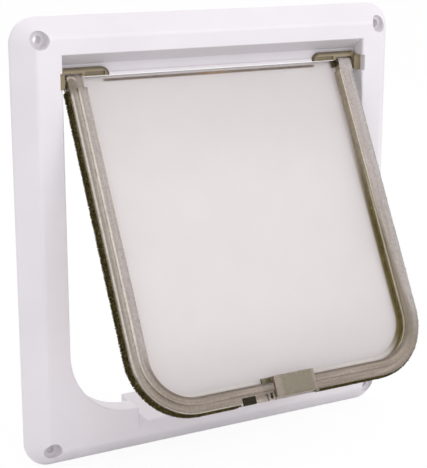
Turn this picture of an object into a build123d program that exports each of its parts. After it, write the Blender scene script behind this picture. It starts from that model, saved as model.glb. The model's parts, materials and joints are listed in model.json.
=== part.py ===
"""Cat flap: a moulded door surround with a tinted swing flap, pile draught strips and a slide lock.

Millimetres. +X is to the right seen from outside the door, +Y goes into the door and +Z is up.
The origin is the middle of the surround on the door's face, so the surround stands at negative Y.
"""

import os
from math import hypot

from build123d import *

os.makedirs("parts", exist_ok=True)

# Surround
frame_w = 191.0
frame_h = 200.0
frame_corner_r = 11.5
frame_t = 11.0
edge_wall = 2.0
bevel_w = 8.2
crest_r = 3.0
skin = 2.2
stile_w = 19.5
top_rail_w = 15.5
bottom_rail_w = 22.2
aperture_corner_r = 30.5
aperture_edge_r = 1.0
rib_t = 1.4

# Header across the top of the opening, set back behind a sloped soffit
soffit_drop = 5.1
header_t = 3.0
header_h = 5.2
bead_t = 1.0
bead_h = 1.2

# Screw fixing
screw_inset_x = 10.2
screw_inset_z = 9.3
screw_hole_d = 3.8
screw_head_d = 7.8
screw_head_recess = 4.5
screw_boss_d = 10.5

# Hinge line
hinge_set_back = 2.6
hinge_drop = 2.6
open_angle = 28.0
pin_d = 3.0
pin_play = 0.06
pin_reach = 4.6
ear_t = 7.0
ear_round = 1.2

# Hinge bearings
notch_depth = 1.2
bearing_w = 3.4
bearing_above = 5.0
bearing_below = 2.2
bearing_front_set = 3.6
bearing_back_set = 0.5
bearing_round = 1.2
boss_d = 6.0
arm_h = 3.9
arm_t = 2.0
arm_reach = 20.4
arm_edge = 0.4
arm_recess_h = 1.7
arm_recess_depth = 0.8
scallop_wall = 0.9

# Flap moulding
flap_side_gap = 3.7
rim_corner_r = 26.6
rim_w = 8.1
rim_bottom_w = 6.9
rim_depth = 6.7
rim_start = 4.2
panel_t = 1.8
panel_front = 0.2
panel_over = 2.1
panel_round = 1.0
lip_w = 3.4
lip_step = 0.9
rim_edge_r = 0.6
band_round = 0.3
lip_round = 0.4
housing_left = 27.4
housing_wall = 0.6
housing_drop = 0.7
pad_x = -16.5
pad_w = 5.7
pad_h = 3.1
pad_depth = 0.9
slit_w = 1.2
slit_h = 2.6
slit_wall = 1.2

# Pile draught strip in the rim's edge groove
pile_w = 4.4
pile_proud = 1.1
pile_groove = 1.0
pile_back = 0.2
pile_start = 4.6
seat_clear = 0.05

# Slide lock in the flap's bottom rim
lock_w = 20.0
lock_h = 9.3
lock_above = 2.2
lock_t = 3.6
lock_proud = 0.6
lock_tongue_left = 4.0
lock_tongue_right = 0.5
lock_tongue_h = 2.6
lock_tongue_t = 1.2
lock_travel = 5.0
lock_clear = 0.3
lock_round = 0.8

# Magnets
magnet_w = 6.5
magnet_h = 3.2
magnet_t = 3.2
magnet_x = -23.1

# Sill block in the bottom rail
sill_w = 86.8
sill_lip_w = 85.0
sill_back = 8.0
sill_back_t = 3.4
sill_reach = 6.4
sill_rise = 0.4
sill_gap = 0.2
sill_slope = 3.8
sill_lip_t = 1.2
sill_skirt = 6.6
sill_seat = 6.0
sill_round = 0.5
bolt_room = 0.8

# Placed sizes
clear = 0.3
past = 5.0
aperture_half = frame_w / 2 - stile_w
aperture_top = frame_h / 2 - top_rail_w
aperture_bottom = -frame_h / 2 + bottom_rail_w
soffit_low = aperture_top - soffit_drop
header_low = soffit_low - header_h
hinge_z = header_low - hinge_drop
hinge_y = -hinge_set_back
flap_half = aperture_half - flap_side_gap
sill_top = aperture_bottom + sill_rise
flap_l = hinge_z - sill_top - sill_gap - pile_proud
hinge_mid = Plane(
    origin=(0, hinge_y, hinge_z),
    x_dir=(1, 0, 0),
    z_dir=(0, -1, 0),
)
flap_plane = hinge_mid.rotated((-open_angle, 0, 0))
panel_back = panel_front - panel_t
rim_front = panel_back + rim_depth
lip_front = rim_front - lip_step
ear_in = flap_half - ear_t
ear_sweep = hypot(panel_over - ear_round, lip_front - ear_round) + ear_round


def u_outline(half_w, top, bottom, corner_r):
    """Closed outline that is square at the top and round at its two lower corners."""
    with BuildSketch() as outline:
        with Locations((0, (top + bottom) / 2)):
            Rectangle(2 * half_w, top - bottom)
        fillet(outline.vertices().group_by(Axis.Y)[0], corner_r)
    return outline.sketch


# Hollow of the surround: the outer form less the skin, clear of walls, bosses, ribs and the sill's seat
rise = frame_t - edge_wall
slope_len = hypot(bevel_w, rise)
core_bevel_w = bevel_w + skin * (slope_len - bevel_w) / rise - skin
core_rise = frame_t - skin - edge_wall + skin * (slope_len - rise) / bevel_w
screw_dx = frame_w - 2 * screw_inset_x
screw_dz = frame_h - 2 * screw_inset_z
seat_half = sill_w / 2 + seat_clear
seat_low = aperture_bottom - sill_seat

with BuildPart() as hollow:
    with BuildSketch(Plane.XZ):
        RectangleRounded(frame_w - 2 * skin, frame_h - 2 * skin, frame_corner_r - skin)
    extrude(amount=frame_t - skin)
    core_front = hollow.faces().sort_by(Axis.Y)[0]
    chamfer(core_front.edges(), length=core_bevel_w, length2=core_rise, reference=core_front)
    with BuildSketch(Plane.XZ):
        add(u_outline(aperture_half + skin, aperture_top + skin, aperture_bottom - skin,
                      aperture_corner_r + skin))
    extrude(amount=frame_t, mode=Mode.SUBTRACT)
    # space above the soffit, open to the back
    soffit_lift = skin * hypot(frame_t - header_t, soffit_drop) / (frame_t - header_t)
    soffit_rate = soffit_drop / (frame_t - header_t)
    with BuildSketch(Plane.YZ):
        with BuildLine():
            Polyline(
                (0, soffit_low + soffit_lift),
                (-header_t, soffit_low + soffit_lift),
                (skin - frame_t, soffit_low + soffit_lift + soffit_rate * (frame_t - skin - header_t)),
                (skin - frame_t, aperture_top + skin + rib_t),
                (0, aperture_top + skin + rib_t),
                close=True,
            )
        make_face()
    extrude(amount=aperture_half, both=True)
    # screw bosses
    with BuildSketch(Plane.XZ):
        with GridLocations(screw_dx, screw_dz, 2, 2):
            Circle(screw_boss_d / 2)
    extrude(amount=frame_t, mode=Mode.SUBTRACT)
    # cross ribs in the stiles and the top rail
    with BuildSketch(Plane.XZ):
        with GridLocations(frame_w - stile_w, frame_h / 4, 2, 3):
            Rectangle(stile_w, rib_t)
        with Locations((0, (frame_h - top_rail_w) / 2)):
            with GridLocations(frame_w / 4, 0, 3, 1):
                Rectangle(rib_t, 2 * top_rail_w)
    extrude(amount=frame_t, mode=Mode.SUBTRACT)
    # wall round the sill's seat
    with BuildSketch(Plane.XZ):
        with Locations((0, (seat_low - skin + aperture_bottom) / 2)):
            Rectangle(2 * (seat_half + skin), aperture_bottom - seat_low + skin)
    extrude(amount=frame_t, mode=Mode.SUBTRACT)

# Surround: bevelled plate with a round crest, opening, soffit, header, screw holes and bearing notches
bearing_low = hinge_z - bearing_below
bearing_high = hinge_z + bearing_above
bearing_out = aperture_half + notch_depth
block_in = bearing_out - bearing_w
arm_end = flap_half + clear - arm_reach

with BuildPart() as frame:
    with BuildSketch(Plane.XZ):
        RectangleRounded(frame_w, frame_h, frame_corner_r)
    extrude(amount=frame_t)
    plate_front = frame.faces().sort_by(Axis.Y)[0]
    chamfer(plate_front.edges(), length=bevel_w, length2=rise, reference=plate_front)
    crest = frame.faces().sort_by(Axis.Y)[0]
    fillet(crest.edges(), crest_r)
    with BuildSketch(Plane.XZ):
        add(u_outline(aperture_half, header_low, aperture_bottom, aperture_corner_r))
    extrude(amount=frame_t, mode=Mode.SUBTRACT)
    with BuildSketch(Plane.YZ):
        with BuildLine():
            Polyline(
                (-frame_t, aperture_top),
                (-header_t, soffit_low),
                (-header_t, header_low - past),
                (-frame_t - past, header_low - past),
                (-frame_t - past, aperture_top),
                close=True,
            )
        make_face()
    extrude(amount=aperture_half, both=True, mode=Mode.SUBTRACT)
    # soft inner edge of the opening, down the sides and along the bottom
    front_edges = frame.edges().group_by(Axis.Y)[0]
    mouth = front_edges.filter_by(
        lambda e: abs(e.center().X) < aperture_half + rib_t and e.center().Z < aperture_top - rib_t
        and e.center().Z > aperture_bottom - rib_t
    )
    fillet(mouth, aperture_edge_r)
    add(hollow.part, mode=Mode.SUBTRACT)
    # bead along the header, over the gap above the flap
    with BuildSketch(Plane.XZ.offset(header_t)):
        with Locations((0, header_low + bead_h / 2)):
            Rectangle(2 * (arm_end - clear), bead_h)
    extrude(amount=bead_t)
    # screw holes with deep flat recesses for the heads
    with Locations(Plane.XZ.offset(frame_t)):
        with GridLocations(screw_dx, screw_dz, 2, 2):
            CounterBoreHole(
                radius=screw_hole_d / 2,
                counter_bore_radius=screw_head_d / 2,
                counter_bore_depth=screw_head_recess,
            )
    # notches that take the hinge bearings, open to the front
    with BuildSketch(Plane.XZ.offset(bearing_back_set)):
        with Locations((0, (bearing_low + bearing_high) / 2)):
            Rectangle(2 * (bearing_out + seat_clear), bearing_high - bearing_low + 2 * seat_clear)
            Rectangle(2 * (block_in - seat_clear), bearing_high - bearing_low + past, mode=Mode.SUBTRACT)
    extrude(amount=frame_t, mode=Mode.SUBTRACT)
    # scallops in the header that clear the turning ears, closed at the back
    for side in (-1, 1):
        with BuildSketch(Plane.YZ.offset(side * (ear_in - clear))):
            with Locations((hinge_y, hinge_z)):
                Circle(ear_sweep + clear)
            with Locations((-scallop_wall - frame_t / 2, hinge_z)):
                Rectangle(frame_t, frame_t, mode=Mode.INTERSECT)
        extrude(amount=side * (block_in - ear_in + clear), mode=Mode.SUBTRACT)
    # seat for the sill block
    with BuildSketch(Plane.XZ):
        with Locations((0, (seat_low + aperture_bottom + past) / 2)):
            Rectangle(2 * seat_half, aperture_bottom + past - seat_low)
    extrude(amount=frame_t + past, mode=Mode.SUBTRACT)

frame.part.label = "frame"
export_step(frame.part, "parts/frame.step")

# Hinge bearings: a block bored for the pivot pin, with a recessed arm along the header
block_deep = frame_t - bearing_front_set - bearing_back_set

with BuildPart() as hinge_bearing_right:
    with BuildSketch(Plane.XZ.offset(bearing_back_set)):
        with Locations(((block_in + bearing_out) / 2, (bearing_low + bearing_high) / 2)):
            RectangleRounded(bearing_w, bearing_high - bearing_low, bearing_round)
    extrude(amount=block_deep)
    with BuildSketch(Plane.XZ.offset(header_t)):
        with BuildLine():
            Polyline(
                (arm_end, header_low),
                (block_in + rib_t, header_low),
                (block_in + rib_t, header_low + arm_h),
                (arm_end + arm_h, header_low + arm_h),
            )
            RadiusArc((arm_end, header_low), (arm_end + arm_h, header_low + arm_h), arm_h)
        make_face()
    extrude(amount=arm_t)
    # shallow recess in the arm's face, between its round end and the ear
    with BuildSketch(Plane.XZ.offset(header_t + arm_t)):
        with Locations(((arm_end + ear_in) / 2, header_low + arm_edge + arm_recess_h / 2)):
            Rectangle(ear_in - arm_end - arm_h, arm_recess_h)
    extrude(amount=-arm_recess_depth, mode=Mode.SUBTRACT)
    # scallop under the arm that clears the turning ear
    with BuildSketch(Plane.YZ.offset(ear_in - clear)):
        with Locations((hinge_y, hinge_z)):
            Circle(ear_sweep + clear)
    extrude(amount=block_in - ear_in + clear, mode=Mode.SUBTRACT)
    # boss up to the flap's ear, and the bore for the pin
    with BuildSketch(Plane.YZ.offset(flap_half + clear)):
        with Locations((hinge_y, hinge_z)):
            Circle(boss_d / 2)
    extrude(amount=block_in - flap_half - clear)
    with BuildSketch(Plane.YZ.offset(block_in - past)):
        with Locations((hinge_y, hinge_z)):
            Circle(pin_d / 2 + pin_play)
    extrude(amount=bearing_w + past, mode=Mode.SUBTRACT)

with BuildPart() as hinge_bearing_left:
    mirror(hinge_bearing_right.part, about=Plane.YZ)

hinge_bearing_right.part.label = "hinge_bearing_right"
export_step(hinge_bearing_right.part, "parts/hinge_bearing_right.step")
hinge_bearing_left.part.label = "hinge_bearing_left"
export_step(hinge_bearing_left.part, "parts/hinge_bearing_left.step")

# Flap: thin panel at the back of a deep rim, pivot ears and pins, strip groove, lock channel and window
rim_low = -flap_l
rim_inner_low = rim_low + rim_bottom_w
rim_inner_r = rim_corner_r - rim_w
housing_right = lock_w / 2 + lock_tongue_right + lock_clear + housing_wall
housing_low = rim_low - housing_drop
lock_top = rim_inner_low + lock_above
lock_back = rim_front + lock_proud - lock_t - lock_tongue_t
lock_side = lock_w / 2 + lock_clear
groove_back = panel_back + pile_back
magnet_back = lip_front - magnet_t
window_top = housing_low + magnet_h


def at_height(edge, height):
    """True for an edge that lies at this height above the flap's hinge plane."""
    return abs(flap_plane.to_local_coords(edge.center()).Z - height) < seat_clear


def on_outline(edge, side_in, low_in, corner_r):
    """True for an edge on the flap's outline moved in by these amounts."""
    if edge.geom_type == GeomType.CIRCLE:
        return abs(edge.radius - corner_r) < seat_clear
    middle = flap_plane.to_local_coords(edge.center())
    on_side = abs(abs(middle.X) - flap_half + side_in) < seat_clear
    on_bottom = abs(middle.Y - rim_low - low_in) < seat_clear
    return on_side or on_bottom


def on_top(edge):
    """True for an edge along the flap's top."""
    return abs(flap_plane.to_local_coords(edge.center()).Y - panel_over) < seat_clear


with BuildPart() as flap:
    with BuildSketch(flap_plane.offset(panel_back)):
        add(u_outline(flap_half, panel_over, rim_low, rim_corner_r))
    extrude(amount=panel_t)
    with BuildSketch(flap_plane.offset(panel_back)):
        add(u_outline(flap_half, -rim_start, rim_low, rim_corner_r))
        add(u_outline(flap_half - rim_w, past, rim_inner_low, rim_inner_r), mode=Mode.SUBTRACT)
    extrude(amount=rim_depth)
    # lower outer lip, round the rim's raised inner band
    with BuildSketch(flap_plane.offset(lip_front)):
        add(u_outline(flap_half + past, past, rim_low - past, rim_corner_r + past))
        add(u_outline(flap_half - lip_w, past, rim_low + lip_w, rim_corner_r - lip_w), mode=Mode.SUBTRACT)
    extrude(amount=lip_step, mode=Mode.SUBTRACT)
    # round inner and outer edges of the band, round outer edge of the lip
    band_edges = flap.edges().filter_by(lambda e: at_height(e, rim_front))
    fillet(band_edges.filter_by(lambda e: on_outline(e, rim_w, rim_bottom_w, rim_inner_r)), rim_edge_r)
    fillet(band_edges.filter_by(lambda e: on_outline(e, lip_w, lip_w, rim_corner_r - lip_w)), band_round)
    lip_edges = flap.edges().filter_by(lambda e: at_height(e, lip_front))
    fillet(lip_edges.filter_by(lambda e: on_outline(e, 0, 0, rim_corner_r)), lip_round)
    # pivot ears above the rim, and the housing for the lock and the magnet in its bottom
    with BuildSketch(flap_plane.offset(panel_back)):
        with GridLocations(2 * flap_half - ear_t, 0, 2, 1):
            with Locations((0, (panel_over - rim_start) / 2)):
                Rectangle(ear_t, panel_over + rim_start)
        with Locations(((housing_right - housing_left) / 2, (housing_low + rim_inner_low) / 2)):
            Rectangle(housing_left + housing_right, rim_inner_low - housing_low)
    extrude(amount=rim_depth - lip_step)
    # round tops of the ears and the panel
    fillet(flap.edges().filter_by(lambda e: at_height(e, lip_front) and on_top(e)), ear_round)
    fillet(flap.edges().filter_by(lambda e: at_height(e, panel_back) and on_top(e)), panel_round)
    # pivot pins
    for side in (-1, 1):
        with BuildSketch(Plane.YZ.offset(side * ear_in)):
            with Locations((hinge_y, hinge_z)):
                Circle(pin_d / 2)
        extrude(amount=side * (ear_t + pin_reach))
    # groove for the pile strips, round the edge and stopped at the housing
    with BuildSketch(flap_plane.offset(groove_back)):
        add(u_outline(flap_half + past, -pile_start, rim_low - past, rim_corner_r + past))
        add(u_outline(flap_half - pile_groove, past, rim_low + pile_groove, rim_corner_r - pile_groove),
            mode=Mode.SUBTRACT)
        with Locations(((housing_right - housing_left) / 2, rim_low)):
            Rectangle(housing_left + housing_right, 4 * past, mode=Mode.SUBTRACT)
    extrude(amount=pile_w + 2 * seat_clear, mode=Mode.SUBTRACT)
    # channel for the lock block, open to the front, above and below
    with BuildSketch(flap_plane.offset(lock_back - lock_clear)):
        with Locations((0, (lock_top + housing_low) / 2)):
            Rectangle(2 * lock_side, lock_top - housing_low + 2 * lock_clear)
    extrude(amount=rim_depth, mode=Mode.SUBTRACT)
    # hidden side grooves that carry and stop its tongues
    groove_mid = (lock_tongue_right - lock_tongue_left) / 2
    groove_low = lock_top - lock_tongue_h - lock_travel - lock_clear
    with BuildSketch(flap_plane.offset(lock_back - lock_clear)):
        with Locations((groove_mid, (lock_top + lock_clear + groove_low) / 2)):
            Rectangle(lock_w + lock_tongue_left + lock_tongue_right + 2 * lock_clear,
                      lock_top + lock_clear - groove_low)
    extrude(amount=lock_tongue_t + 2 * lock_clear, mode=Mode.SUBTRACT)
    # window for the magnet, open to the front and below
    with BuildSketch(flap_plane.offset(magnet_back - seat_clear)):
        with Locations((magnet_x, (window_top + housing_low) / 2)):
            Rectangle(magnet_w + 2 * seat_clear, magnet_h + 2 * seat_clear)
    extrude(amount=rim_depth, mode=Mode.SUBTRACT)
    # shallow recess beside the window, and a slit into the tongue's groove beside the lock
    with BuildSketch(flap_plane.offset(lip_front - pad_depth)):
        with Locations((pad_x, housing_low + pad_h / 2)):
            Rectangle(pad_w, pad_h)
    extrude(amount=rim_depth, mode=Mode.SUBTRACT)
    with BuildSketch(flap_plane.offset(lock_back - lock_clear)):
        with Locations((-lock_side - slit_wall - slit_w / 2, groove_low)):
            Rectangle(slit_w, slit_h)
    extrude(amount=rim_depth, mode=Mode.SUBTRACT)

flap.part.label = "flap"
export_step(flap.part, "parts/flap.step")


def pile_strip(from_x, to_x):
    """Pile draught strip between two places across the flap, round one lower corner."""
    with BuildPart() as strip:
        with BuildSketch(flap_plane.offset(groove_back + seat_clear)):
            add(u_outline(flap_half + pile_proud, -pile_start - seat_clear, rim_low - pile_proud,
                          rim_corner_r + pile_proud))
            bed = pile_groove - seat_clear
            add(u_outline(flap_half - bed, past, rim_low + bed, rim_corner_r - bed), mode=Mode.SUBTRACT)
            with Locations(((from_x + to_x) / 2, rim_low / 2)):
                Rectangle(to_x - from_x, 2 * flap_l, mode=Mode.INTERSECT)
        extrude(amount=pile_w)
    return strip.part


with BuildPart() as pile_strip_left:
    add(pile_strip(-frame_w, -housing_left - seat_clear))

with BuildPart() as pile_strip_right:
    add(pile_strip(housing_right + seat_clear, frame_w))

pile_strip_left.part.label = "pile_strip_left"
export_step(pile_strip_left.part, "parts/pile_strip_left.step")
pile_strip_right.part.label = "pile_strip_right"
export_step(pile_strip_right.part, "parts/pile_strip_right.step")

# Magnet in the flap's window, flush with the housing below
with BuildPart() as flap_magnet:
    with BuildSketch(flap_plane.offset(magnet_back)):
        with Locations((magnet_x, housing_low + magnet_h / 2)):
            Rectangle(magnet_w, magnet_h)
    extrude(amount=magnet_t)

flap_magnet.part.label = "flap_magnet"
export_step(flap_magnet.part, "parts/flap_magnet.step")

# Lock block, raised: a bolt with tongues near its top that run in the side grooves
with BuildPart() as lock_slide:
    with BuildSketch(flap_plane.offset(lock_back)):
        with Locations((0, lock_top - lock_h / 2)):
            Rectangle(lock_w, lock_h)
    extrude(amount=lock_tongue_t + lock_t)
    lock_face = lock_slide.faces().sort_by(Axis.Y)[0]
    fillet(lock_face.edges(), lock_round)
    with BuildSketch(flap_plane.offset(lock_back)):
        with Locations((groove_mid, lock_top - lock_tongue_h / 2)):
            Rectangle(lock_w + lock_tongue_left + lock_tongue_right, lock_tongue_h)
    extrude(amount=lock_tongue_t)

lock_slide.part.label = "lock_slide"
export_step(lock_slide.part, "parts/lock_slide.step")

# Sill block: sloped top that clears the swinging flap, front lip, skirt, lock slot and magnet pocket
lip_y = -frame_t - sill_reach
lip_z = sill_top - sill_slope
sill_low = seat_low + seat_clear
skirt_low = lip_z - sill_lip_t - sill_skirt
slot_front = hinge_y - rim_front - lock_proud - bolt_room
slot_back = hinge_y - lock_back + bolt_room
slot_low = hinge_z + lock_top - lock_h - lock_travel - bolt_room
slot_left = -lock_w / 2 - lock_tongue_left - bolt_room
slot_right = lock_w / 2 + lock_tongue_right + bolt_room
keeper_y = hinge_y - magnet_back - magnet_t / 2

with BuildPart() as sill:
    with BuildSketch(Plane.YZ):
        with BuildLine():
            TangentArc((-frame_t, skirt_low), (lip_y, lip_z - sill_lip_t), tangent=(0, 1))
            Polyline(
                (lip_y, lip_z - sill_lip_t),
                (lip_y, lip_z),
                (sill_back, sill_top),
                (sill_back, sill_top - sill_back_t),
                (0, sill_top - sill_back_t),
                (0, sill_low),
                (-frame_t, sill_low),
                (-frame_t, skirt_low),
            )
        make_face()
    extrude(amount=sill_w / 2, both=True)
    # ends drawn in towards the lip
    with BuildSketch(Plane.XY.offset(sill_top + past)):
        for side in (-1, 1):
            with BuildLine():
                Polyline(
                    (side * sill_w / 2, -frame_t),
                    (side * sill_lip_w / 2, lip_y),
                    (side * sill_lip_w / 2, lip_y - past),
                    (side * frame_w / 2, lip_y - past),
                    (side * frame_w / 2, -frame_t),
                    close=True,
                )
            make_face()
    extrude(amount=-frame_h / 4, mode=Mode.SUBTRACT)
    nose = sill.faces().sort_by(Axis.Y)[0]
    fillet(nose.edges().filter_by(Axis.X), sill_round)
    # slot that takes the bolt when the flap is shut and locked
    with BuildSketch(Plane.XY.offset(slot_low)):
        with Locations(((slot_left + slot_right) / 2, (slot_front + slot_back) / 2)):
            Rectangle(slot_right - slot_left, slot_back - slot_front)
    extrude(amount=frame_h / 4, mode=Mode.SUBTRACT)
    # pocket for the magnet, open below
    with BuildSketch(Plane.XY.offset(sill_low)):
        with Locations((magnet_x, keeper_y)):
            Rectangle(magnet_w + 2 * seat_clear, magnet_t + 2 * seat_clear)
    extrude(amount=magnet_h + seat_clear, mode=Mode.SUBTRACT)

sill.part.label = "sill"
export_step(sill.part, "parts/sill.step")

# Magnet in the sill, below the one in the shut flap
with BuildPart() as sill_magnet:
    with BuildSketch(Plane.XY.offset(sill_low)):
        with Locations((magnet_x, keeper_y)):
            Rectangle(magnet_w, magnet_t)
    extrude(amount=magnet_h)

sill_magnet.part.label = "sill_magnet"
export_step(sill_magnet.part, "parts/sill_magnet.step")
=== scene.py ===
"""Dressed scene of a cat flap.

A white moulded surround carries a tinted swing flap with pile draught strips and a slide lock.
"""

import json
import logging
import math
import random
from dataclasses import dataclass, field
from enum import Enum
from typing import Dict, List, Optional, Sequence, Tuple, Union

import bmesh
import bpy
from mathutils import Euler, Matrix, Vector


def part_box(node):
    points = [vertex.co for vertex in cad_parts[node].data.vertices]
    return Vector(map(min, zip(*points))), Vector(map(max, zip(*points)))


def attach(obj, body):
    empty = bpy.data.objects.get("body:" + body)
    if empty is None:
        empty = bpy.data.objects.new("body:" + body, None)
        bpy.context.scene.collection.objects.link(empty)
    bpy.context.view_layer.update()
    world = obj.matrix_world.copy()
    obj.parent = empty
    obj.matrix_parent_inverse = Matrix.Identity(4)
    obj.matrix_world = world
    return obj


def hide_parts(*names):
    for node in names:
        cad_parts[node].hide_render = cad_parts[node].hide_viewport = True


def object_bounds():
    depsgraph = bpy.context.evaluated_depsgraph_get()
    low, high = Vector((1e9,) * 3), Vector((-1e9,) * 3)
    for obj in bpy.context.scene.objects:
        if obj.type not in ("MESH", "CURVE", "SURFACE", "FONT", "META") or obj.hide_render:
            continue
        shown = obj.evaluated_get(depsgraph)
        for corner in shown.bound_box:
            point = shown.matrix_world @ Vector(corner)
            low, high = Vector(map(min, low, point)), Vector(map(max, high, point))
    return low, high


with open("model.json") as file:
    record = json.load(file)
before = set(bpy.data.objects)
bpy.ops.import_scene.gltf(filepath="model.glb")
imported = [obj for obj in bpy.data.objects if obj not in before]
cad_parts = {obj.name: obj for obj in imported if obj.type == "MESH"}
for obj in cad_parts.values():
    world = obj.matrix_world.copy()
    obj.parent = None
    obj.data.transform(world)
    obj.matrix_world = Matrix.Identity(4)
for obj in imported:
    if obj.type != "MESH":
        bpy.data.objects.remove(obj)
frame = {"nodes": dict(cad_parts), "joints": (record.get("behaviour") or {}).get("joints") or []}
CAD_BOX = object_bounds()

LOG = logging.getLogger("cat_flap")
QUARTER_TURN = math.pi / 2

Socket = bpy.types.NodeSocket
Colour = Tuple[float, float, float]
Point = Tuple[float, float, float]
Pair = Tuple[Colour, Colour]
Span = Tuple[float, float]
Spots = Tuple[float, ...]


class Body(Enum):
    """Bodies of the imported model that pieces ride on."""

    SURROUND = "frame"
    FLAP = "flap"
    LOCK = "lock"


class Side(Enum):
    """Left or right of the flap, as the sign of X."""

    LEFT = -1
    RIGHT = 1


class NodeBench:
    """Short calls for one material's node tree, with every pattern on Object coordinates."""

    noise_middle: Span = (0.3, 0.7)

    def __init__(self, name: str) -> None:
        """Start an empty material.

        Args:
            name: Name of the material.
        """
        self.material = bpy.data.materials.new(name)
        self.material.use_nodes = True
        self.tree = self.material.node_tree
        self.tree.nodes.clear()
        self.output = self.tree.nodes.new("ShaderNodeOutputMaterial")
        self.shader = self.tree.nodes.new("ShaderNodeBsdfPrincipled")
        self.tree.links.new(self.shader.outputs["BSDF"], self.output.inputs["Surface"])
        self.coordinates = self.tree.nodes.new("ShaderNodeTexCoord")
        self.place = self.coordinates.outputs["Object"]

    def link(self, source: Socket, target: Socket) -> None:
        """Join two sockets."""
        self.tree.links.new(source, target)

    def noise(
        self, scale: float, detail: float, rough: float = 0.5, place: Optional[Socket] = None
    ) -> Socket:
        """Noise over the object.

        Args:
            scale: Features per metre.
            detail: Octaves of the noise.
            rough: Weight of the finer octaves.
            place: Coordinates of the noise, if not the object's own.

        Returns:
            The noise's factor socket.
        """
        node = self.tree.nodes.new("ShaderNodeTexNoise")
        node.inputs["Scale"].default_value = scale
        node.inputs["Detail"].default_value = detail
        node.inputs["Roughness"].default_value = rough
        self.link(place or self.place, node.inputs["Vector"])
        return node.outputs["Fac"]

    def vector(self, *parts: Socket) -> Socket:
        """Vector made of some values.

        Args:
            parts: Its first values; the others are 0.

        Returns:
            The vector.
        """
        node = self.tree.nodes.new("ShaderNodeCombineXYZ")
        for number, part in enumerate(parts):
            self.link(part, node.inputs[number])
        return node.outputs["Vector"]

    def spread(self, source: Socket, low: float, high: float) -> Socket:
        """Map the middle range of a noise to two values.

        Args:
            source: Factor socket of a noise.
            low: Value at its dark end.
            high: Value at its light end.

        Returns:
            The mapped value.
        """
        node = self.tree.nodes.new("ShaderNodeMapRange")
        node.inputs["From Min"].default_value = self.noise_middle[0]
        node.inputs["From Max"].default_value = self.noise_middle[1]
        node.inputs["To Min"].default_value = low
        node.inputs["To Max"].default_value = high
        self.link(source, node.inputs["Value"])
        return node.outputs["Result"]

    def tones(self, source: Socket, dark: Colour, light: Colour) -> Socket:
        """Blend two colours by a noise.

        Args:
            source: Factor socket of a noise.
            dark: Colour at its dark end.
            light: Colour at its light end.

        Returns:
            The blended colour.
        """
        node = self.tree.nodes.new("ShaderNodeValToRGB")
        for element, spot, colour in zip(
            node.color_ramp.elements, self.noise_middle, (dark, light)
        ):
            element.position = spot
            element.color = (*colour, 1.0)
        self.link(source, node.inputs["Fac"])
        return node.outputs["Color"]

    def ramp(self, source: Socket, start: float, end: float) -> Socket:
        """Factor that rises smoothly from 0 to 1 between two values.

        Args:
            source: Value socket.
            start: Value at which the factor is 0.
            end: Value at which the factor is 1.

        Returns:
            The factor.
        """
        node = self.tree.nodes.new("ShaderNodeMapRange")
        node.interpolation_type = "SMOOTHSTEP"
        node.inputs["From Min"].default_value = start
        node.inputs["From Max"].default_value = end
        self.link(source, node.inputs["Value"])
        return node.outputs["Result"]

    def zone(self, source: Socket, spots: Spots) -> Socket:
        """Factor that rises between two values and, where four are given, falls between the others.

        Args:
            source: Value socket.
            spots: The two or four values in order.

        Returns:
            The factor.
        """
        rising = self.ramp(source, spots[0], spots[1])
        if len(spots) == 2:
            return rising
        return self.math("MULTIPLY", rising, self.ramp(source, spots[3], spots[2]))

    def math(self, operation: str, *sources: Union[Socket, float]) -> Socket:
        """Result of a maths node on one or two sockets or numbers.

        Args:
            operation: Name of the node's operation.
            sources: Sockets or numbers that it works on.

        Returns:
            The result.
        """
        node = self.tree.nodes.new("ShaderNodeMath")
        node.operation = operation
        for number, source in enumerate(sources):
            if isinstance(source, float):
                node.inputs[number].default_value = source
            else:
                self.link(source, node.inputs[number])
        return node.outputs["Value"]

    def all_of(self, *factors: Socket) -> Socket:
        """Product of some factors.

        Args:
            factors: Factor sockets.

        Returns:
            Their product.
        """
        product = factors[0]
        for factor in factors[1:]:
            product = self.math("MULTIPLY", product, factor)
        return product

    def length(self, first: Socket, second: Socket) -> Socket:
        """Distance that two offsets at right angles make.

        Args:
            first: One offset.
            second: The other offset.

        Returns:
            The distance.
        """
        squares = [self.math("MULTIPLY", offset, offset) for offset in (first, second)]
        return self.math("SQRT", self.math("ADD", *squares))

    def axes(self, source: Socket) -> Tuple[Socket, ...]:
        """The three parts of a vector.

        Args:
            source: Vector socket.

        Returns:
            Its X, Y and Z sockets.
        """
        node = self.tree.nodes.new("ShaderNodeSeparateXYZ")
        self.link(source, node.inputs["Vector"])
        return tuple(node.outputs)

    def local(self, source: Socket, origin: Vector, turn: Euler) -> Socket:
        """A vector seen in axes of its own.

        Args:
            source: Vector in the object's coordinates.
            origin: Where those axes start.
            turn: How they are turned.

        Returns:
            The vector in those axes.
        """
        node = self.tree.nodes.new("ShaderNodeMapping")
        node.vector_type = "TEXTURE"
        node.inputs["Location"].default_value = origin
        node.inputs["Rotation"].default_value = turn
        self.link(source, node.inputs["Vector"])
        return node.outputs["Vector"]

    def inset(self, across: Socket, along: Socket, strip: "PileStrip") -> Socket:
        """Distance in from the flap's outline, which is round at its two lower corners.

        Args:
            across: Place across the flap.
            along: Place up along the flap.
            strip: Pile strip that lies in the outline.

        Returns:
            The distance in metres.
        """
        straight = strip.half_w - strip.corner_r
        side = self.math("SUBTRACT", self.math("ABSOLUTE", across), straight)
        down = self.math("SUBTRACT", strip.low + strip.corner_r, along)
        past = self.length(self.math("MAXIMUM", side, 0.0), self.math("MAXIMUM", down, 0.0))
        within = self.math("MINIMUM", self.math("MAXIMUM", side, down), 0.0)
        return self.math("SUBTRACT", strip.corner_r, self.math("ADD", past, within))

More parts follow.
